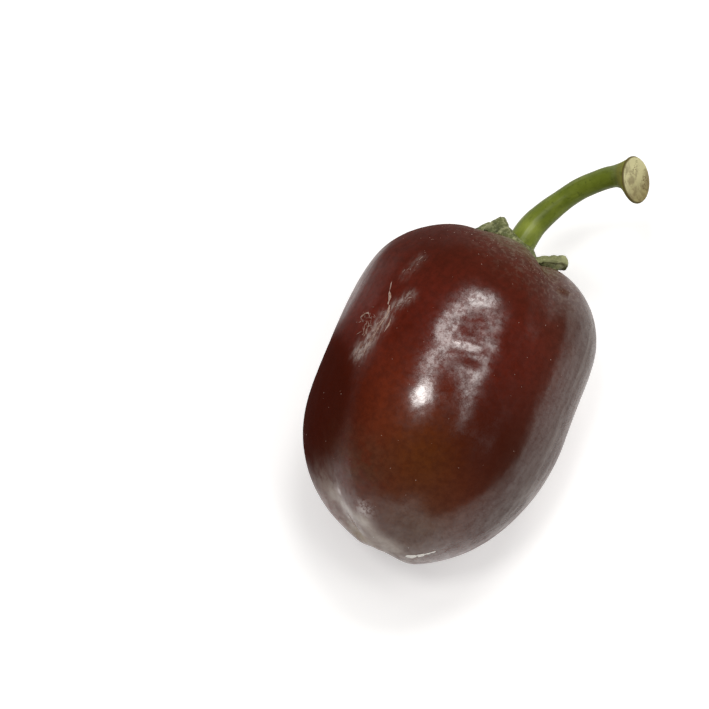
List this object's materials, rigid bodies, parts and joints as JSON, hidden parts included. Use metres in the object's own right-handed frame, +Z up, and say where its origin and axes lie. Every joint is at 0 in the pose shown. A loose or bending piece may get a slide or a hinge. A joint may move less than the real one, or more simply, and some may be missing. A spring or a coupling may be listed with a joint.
{
  "type": "chocolate habanero pepper",
  "caption": "Whole blocky brown chili pod lying on its side, with creased shoulders, a crumpled green calyx and a curved stem that ends in a flared scar.",
  "frame": {"origin": "on the surface the pepper lies on, under the middle of its bounding box", "axes": "+Y along the pod from the blossom end to the stem, +Z up, +X to the right seen from the blossom end"},
  "size_m": [0.0358, 0.0644, 0.0327],
  "materials": {
    "pod": "waxy fruit skin, dark red-brown, with a soft gloss",
    "calyx": "rough grey-green leafy tissue",
    "stem": "smooth mottled green stalk with a corky cream scar"
  },
  "bodies": {
    "root": {"pod": "pod", "calyx": "calyx", "stem": "stem"}
  },
  "joints": []
}
